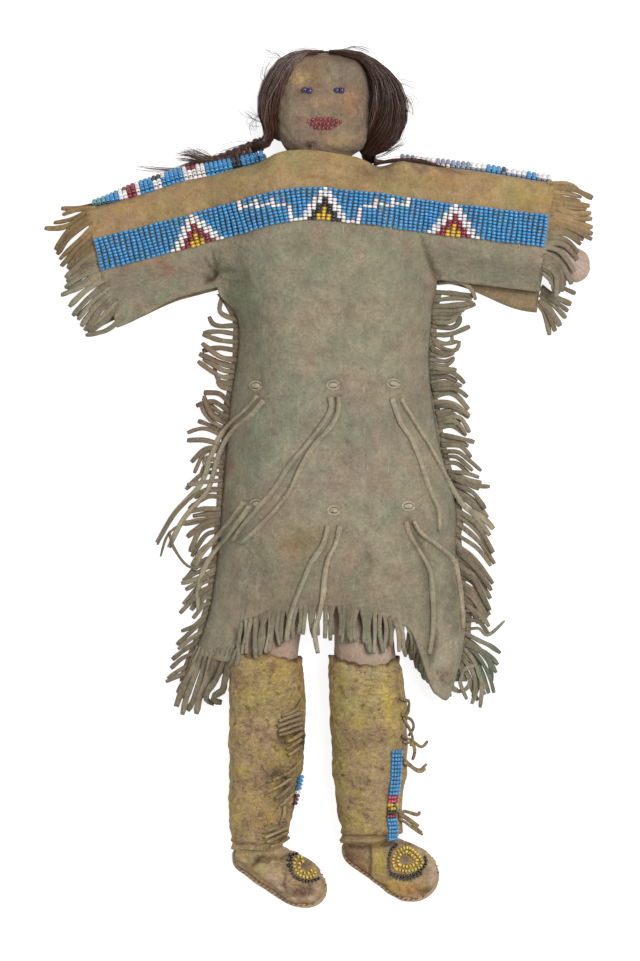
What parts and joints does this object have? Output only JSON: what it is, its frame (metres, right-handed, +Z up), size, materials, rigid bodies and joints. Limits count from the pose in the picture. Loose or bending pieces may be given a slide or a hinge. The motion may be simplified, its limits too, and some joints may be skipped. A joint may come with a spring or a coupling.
{
  "type": "beaded hide doll",
  "caption": "Stuffed hide doll in a beaded and fringed hide dress with thong ties and beaded boots, lying on its back with its arms spread.",
  "frame": {"origin": "on the underside of the dress's back hide, at the middle of the doll, where it lies on a surface", "axes": "+Y from the feet to the head, along the doll's length; +Z up, out of the doll's front; +X to the right as seen from the front"},
  "size_m": [0.2249, 0.355, 0.0336],
  "materials": {
    "green_hide": "suede, rubbed with green earth, with an ochre yoke",
    "body_hide": "plain soft suede",
    "face_hide": "rubbed, mottled suede",
    "boot_hide": "suede with yellow paint, worn and dirty",
    "sole_hide": "stiff rawhide",
    "hair": "dark brown hair",
    "blue_beads": "opaque glossy seed beads; the design's other colours are in the visual model",
    "dark_beads": "opaque glossy seed beads",
    "red_beads": "clear dark red seed beads",
    "yellow_beads": "opaque glossy seed beads"
  },
  "bodies": {
    "root": {"dress_front": "green_hide", "dress_back": "green_hide", "side_fringe_left": "green_hide", "side_fringe_right": "green_hide", "front_bead_lane": "blue_beads", "shoulder_bead_lane_left": "blue_beads", "shoulder_bead_lane_right": "blue_beads", "tie_upper_left_1": "green_hide", "tie_upper_left_2": "green_hide", "tie_upper_middle_1": "green_hide", "tie_upper_middle_2": "green_hide", "tie_upper_right_1": "green_hide", "tie_upper_right_2": "green_hide", "tie_lower_left_1": "green_hide", "tie_lower_left_2": "green_hide", "tie_lower_middle_1": "green_hide", "tie_lower_middle_2": "green_hide", "tie_lower_right_1": "green_hide", "tie_lower_right_2": "green_hide", "body": "body_hide", "head": "face_hide", "hair": "hair", "eye_left": "dark_beads", "eye_right": "dark_beads", "mouth_beads": "red_beads", "legging_left": "boot_hide", "legging_right": "boot_hide", "moccasin_left": "boot_hide", "moccasin_right": "boot_hide", "sole_left": "sole_hide", "sole_right": "sole_hide", "toe_beads_yellow_left": "yellow_beads", "toe_beads_yellow_right": "yellow_beads", "toe_beads_dark_left": "dark_beads", "toe_beads_dark_right": "dark_beads", "legging_bead_lane_left": "blue_beads", "legging_bead_lane_right": "blue_beads"}
  },
  "joints": []
}
